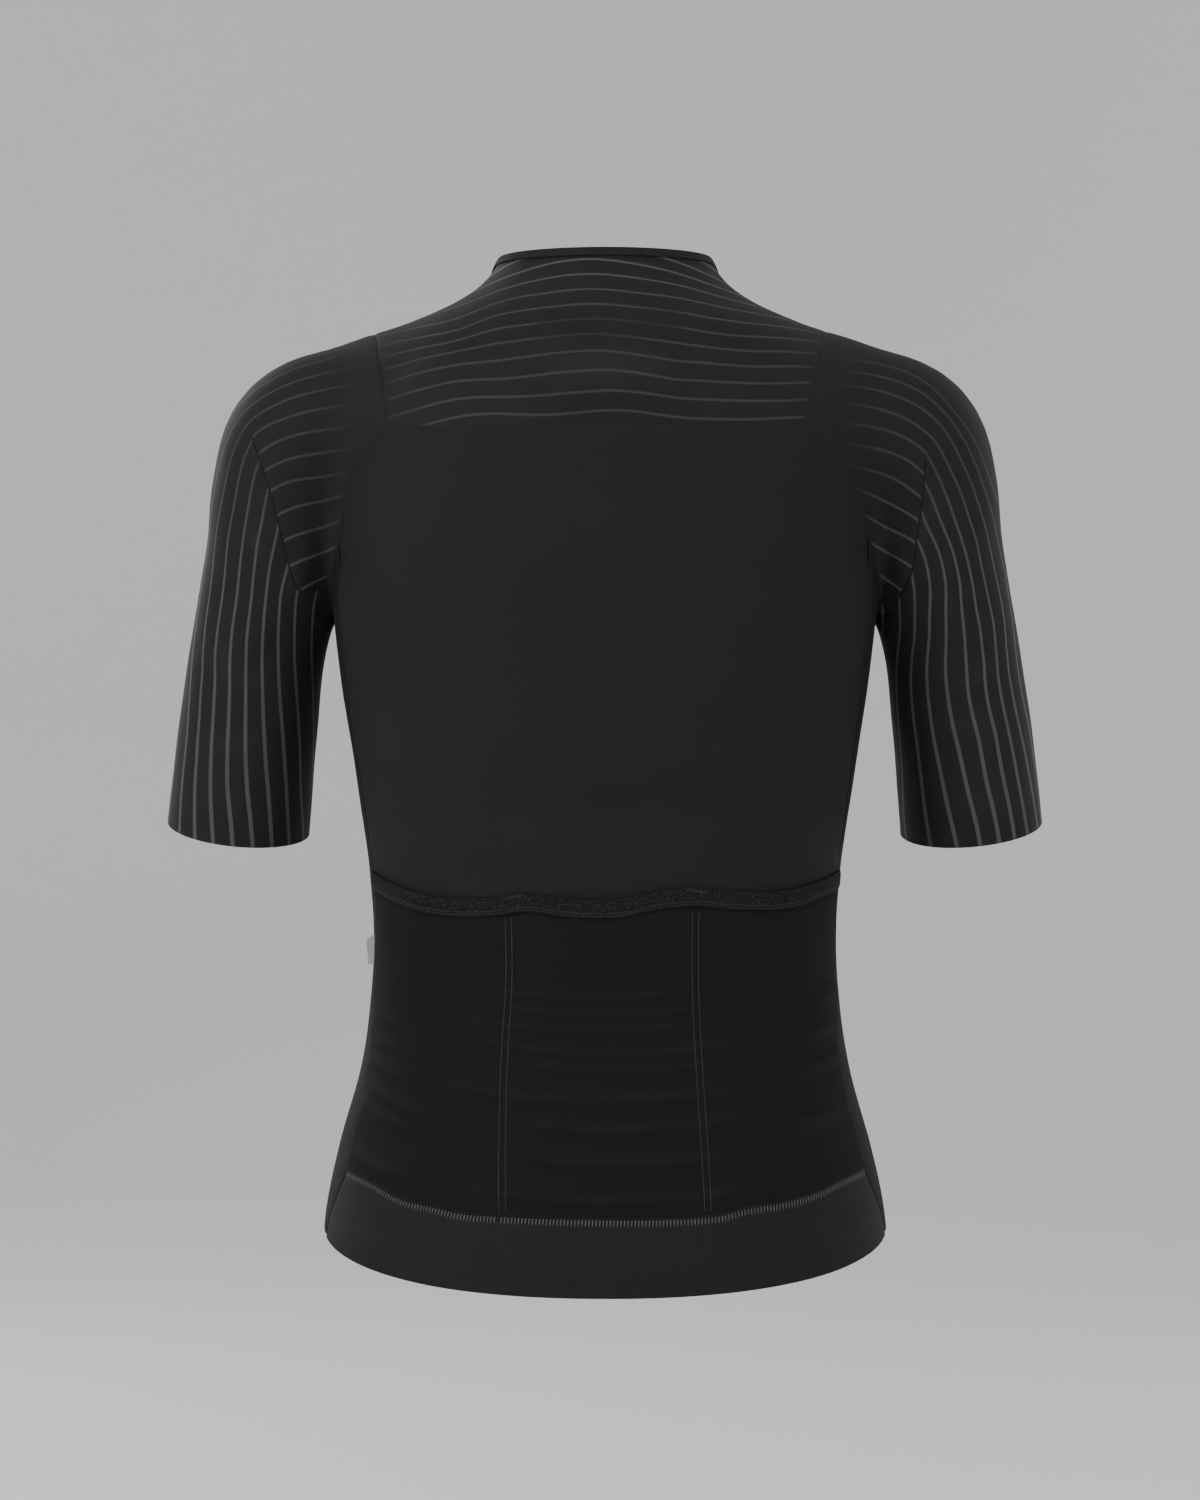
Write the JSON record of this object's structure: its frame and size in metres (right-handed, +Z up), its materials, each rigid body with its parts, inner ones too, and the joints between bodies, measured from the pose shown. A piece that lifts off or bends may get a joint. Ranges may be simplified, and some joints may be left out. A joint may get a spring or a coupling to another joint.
{
  "type": "cycling jersey",
  "caption": "Close-fitting short-sleeved cycling jersey with striped yoke and sleeves, back pockets under an elastic mouth band, dropped hem and full front zip.",
  "frame": {"origin": "on the centre line between the shoulders, at the level of the neck's base, where the wearer carries the jersey", "axes": "+Z up, front towards -Y, wearer's left towards +X"},
  "size_m": [0.5438, 0.2474, 0.6147],
  "materials": {
    "striped_knit": "smooth black knit with thin grey stripes",
    "body_knit": "smooth black stretch knit",
    "pocket_knit": "matte black knit",
    "elastic": "black elastic with a fine rib",
    "zip_tape": "black woven tape",
    "zip_teeth": "black nylon coil",
    "zip_metal": "black lacquered metal",
    "ribbon": "blank light grey woven ribbon"
  },
  "bodies": {
    "jersey": {"back_yoke": "striped_knit", "back_panel": "body_knit", "pocket_panel": "pocket_knit", "pocket_binding": "elastic", "back_hem_band": "elastic", "side_panel_left": "body_knit", "side_panel_right": "body_knit", "front_left": "body_knit", "front_right": "body_knit", "sleeve_left": "striped_knit", "sleeve_right": "striped_knit", "collar_binding": "elastic", "zip_tape_left": "zip_tape", "zip_tape_right": "zip_tape", "zip_chain": "zip_teeth", "zip_slider": "zip_metal", "side_label": "ribbon"},
    "zip_pull": {"zip_pull": "zip_metal"}
  },
  "joints": [
    {"name": "zip_pull_swing", "type": "hinge", "parent": "jersey", "child": "zip_pull", "pos_m": [0, -0.0703, -0.0385], "axis": [-1, 0, 0], "range_deg": [0, 150]}
  ]
}
